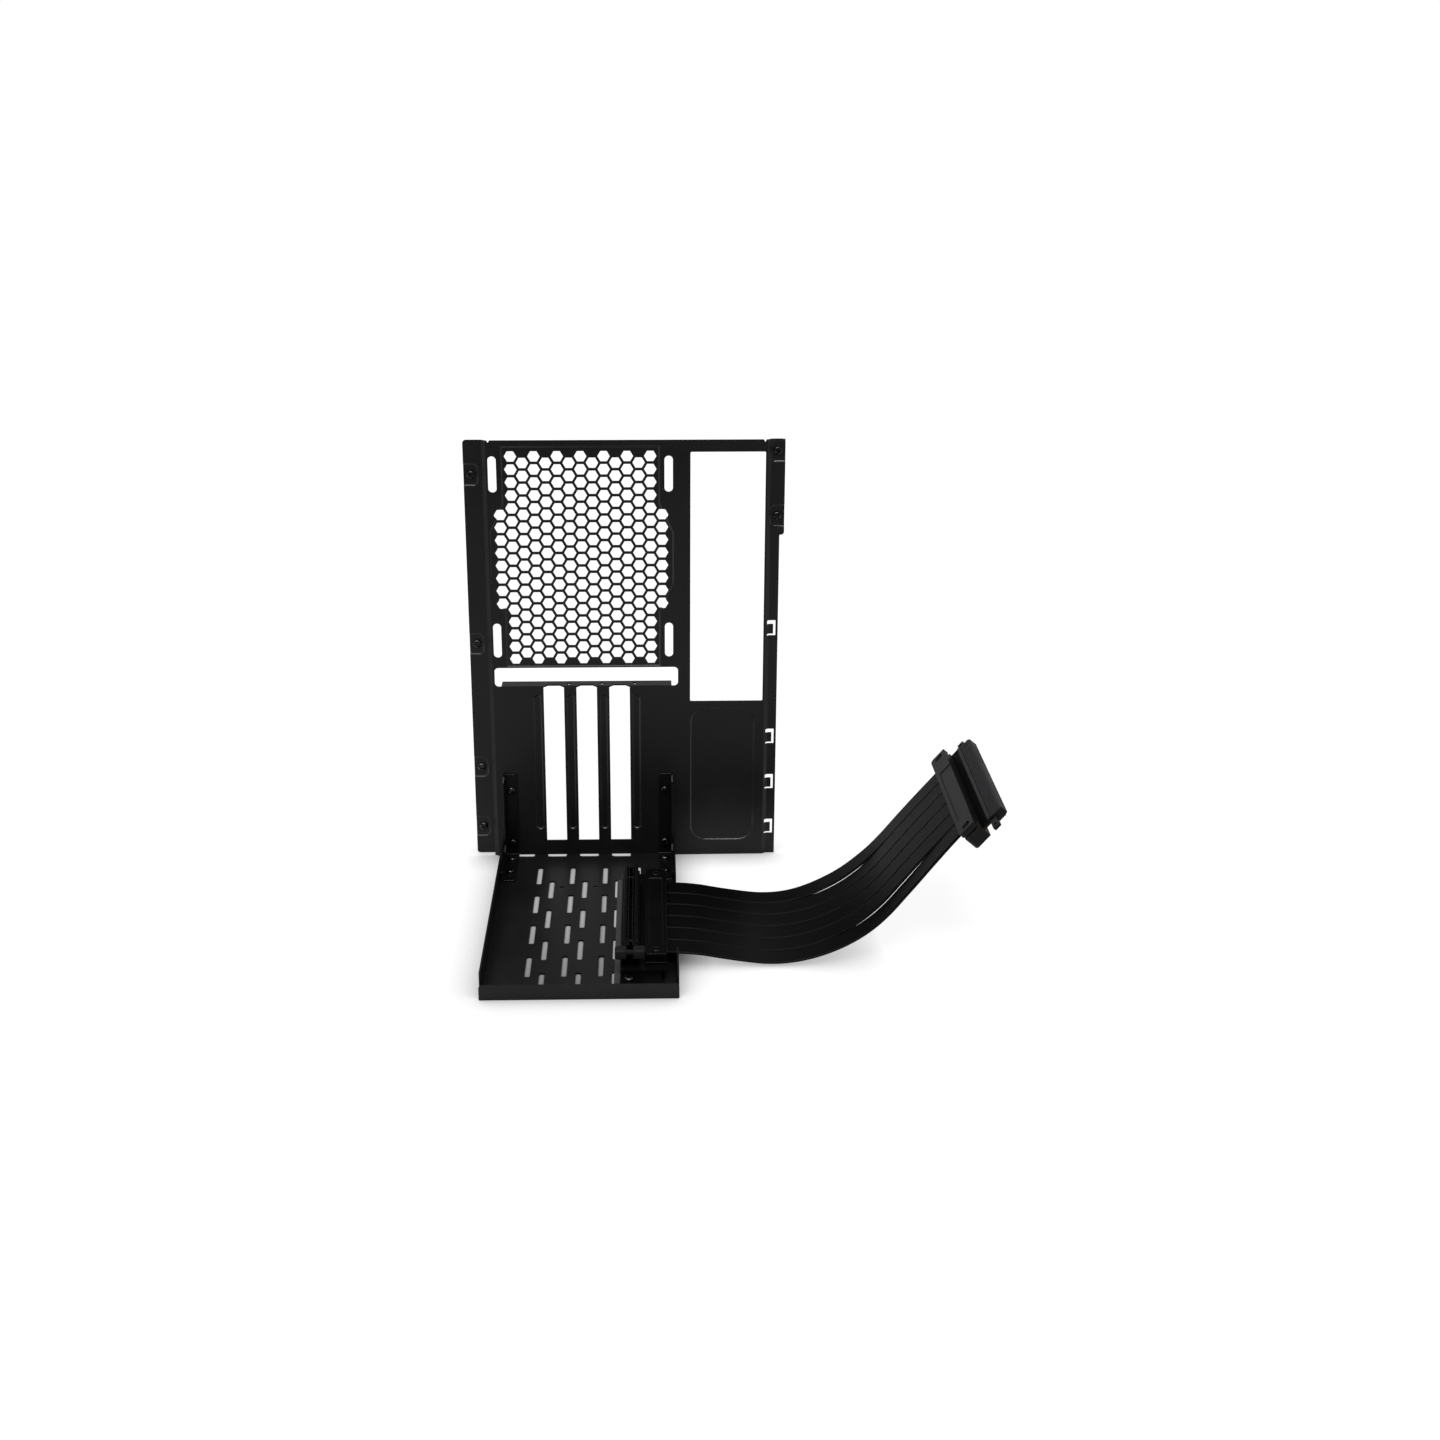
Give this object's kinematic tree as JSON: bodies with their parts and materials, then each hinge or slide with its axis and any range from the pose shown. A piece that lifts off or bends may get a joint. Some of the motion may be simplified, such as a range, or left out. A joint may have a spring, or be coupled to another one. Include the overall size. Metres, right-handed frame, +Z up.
{
  "type": "vertical gpu mount",
  "caption": "Folded steel rear panel with a fan vent and slots, on a slotted tray that carries a card socket, fed by a flat riser cable with a capped plug.",
  "frame": {"origin": "on the tray's underside, below the middle expansion slot's centre line, 99 mm in front of the rear panel", "axes": "+X to the right along the panel as seen from the tray, +Y from the tray towards the panel, +Z up"},
  "size_m": [0.3035, 0.1756, 0.2715],
  "materials": {
    "black_steel": "fine textured powder coat",
    "screw_steel": "black zinc",
    "standoff_brass": "turned",
    "circuit_board": "black solder mask",
    "black_plastic": "moulded",
    "contact_brass": "gold plated",
    "cable_jacket": "satin film"
  },
  "bodies": {
    "frame": {"rear_panel": "black_steel", "tray": "black_steel", "left_upright": "black_steel", "right_upright": "black_steel", "panel_screws": "screw_steel", "upright_screws": "screw_steel", "foot_screws": "screw_steel", "riser_bracket": "black_steel", "bracket_standoffs": "standoff_brass", "bracket_screws": "screw_steel", "riser_board": "circuit_board", "slot_socket": "black_plastic", "slot_contacts": "contact_brass", "clamp_base": "black_plastic", "clamp_cover": "black_plastic", "clamp_screws": "screw_steel", "ribbon_strip_1": "cable_jacket", "ribbon_strip_2": "cable_jacket", "ribbon_strip_3": "cable_jacket", "ribbon_strip_4": "cable_jacket", "ribbon_strip_5": "cable_jacket", "ribbon_strip_6": "cable_jacket", "plug_cover_top": "black_plastic", "plug_cover_bottom": "black_plastic", "plug_screws": "screw_steel", "plug_board": "circuit_board", "contact_cap": "black_plastic"},
    "latch": {"slot_latch": "black_plastic"}
  },
  "joints": [
    {"name": "latch_hinge", "type": "hinge", "parent": "frame", "child": "latch", "pos_m": [0.0275, -0.0425, 0.0105], "axis": [1, 0, 0], "range_deg": [0, 25]}
  ]
}
